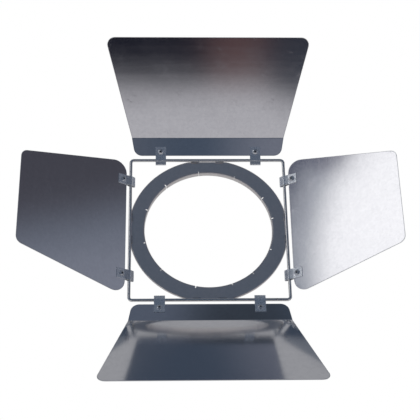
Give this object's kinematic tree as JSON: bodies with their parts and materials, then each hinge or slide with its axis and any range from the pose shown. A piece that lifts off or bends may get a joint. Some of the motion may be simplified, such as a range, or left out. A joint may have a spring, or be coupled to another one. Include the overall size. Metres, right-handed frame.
{
  "type": "barn door attachment",
  "caption": "Square bent-rod frame with a round collared opening and hinged sheet-metal leaves on folded strip clips, for shaping the beam of a stage lamp.",
  "frame": {"origin": "centre of the beam opening, in the plane of the back rim of the collar", "axes": "+Z along the beam, out of the lamp; +Y towards the upper leaf; +X towards the right leaf, seen from in front"},
  "size_m": [0.5789, 0.5809, 0.1304],
  "materials": {
    "leaf_sheet": "satin polished sheet",
    "ring_sheet": "satin plated sheet",
    "rod_steel": "bright plated rod",
    "clip_strip": "bright zinc plate",
    "fastener_zinc": "bright zinc plate",
    "weld_metal": "as welded, plated over"
  },
  "bodies": {
    "frame": {"rod_frame": "rod_steel", "ring_plate": "ring_sheet", "ring_collar": "ring_sheet", "ring_welds": "weld_metal", "rod_butt_weld": "weld_metal"},
    "upper_door": {"upper_leaf": "leaf_sheet", "upper_clip_a": "clip_strip", "upper_clip_b": "clip_strip", "upper_screws": "fastener_zinc", "upper_washers": "fastener_zinc", "upper_nuts": "fastener_zinc"},
    "lower_door": {"lower_leaf": "leaf_sheet", "lower_clip_a": "clip_strip", "lower_clip_b": "clip_strip", "lower_screws": "fastener_zinc", "lower_washers": "fastener_zinc", "lower_nuts": "fastener_zinc"},
    "left_door": {"left_leaf": "leaf_sheet", "left_clip_a": "clip_strip", "left_clip_b": "clip_strip", "left_screws": "fastener_zinc", "left_washers": "fastener_zinc", "left_nuts": "fastener_zinc"},
    "right_door": {"right_leaf": "leaf_sheet", "right_clip_a": "clip_strip", "right_clip_b": "clip_strip", "right_screws": "fastener_zinc", "right_washers": "fastener_zinc", "right_nuts": "fastener_zinc"}
  },
  "joints": [
    {"name": "upper_hinge", "type": "hinge", "parent": "frame", "child": "upper_door", "pos_m": [0, 0.125, 0.0106], "axis": [1, 0, 0], "range_deg": [-75.7, 132.3]},
    {"name": "lower_hinge", "type": "hinge", "parent": "frame", "child": "lower_door", "pos_m": [0, -0.125, 0.0106], "axis": [-1, 0, 0], "range_deg": [-71.5, 120]},
    {"name": "left_hinge", "type": "hinge", "parent": "frame", "child": "left_door", "pos_m": [-0.125, 0, 0.0106], "axis": [0, 1, 0], "range_deg": [-94, 142.8]},
    {"name": "right_hinge", "type": "hinge", "parent": "frame", "child": "right_door", "pos_m": [0.125, 0, 0.0106], "axis": [0, -1, 0], "range_deg": [-93.1, 146.5]}
  ]
}
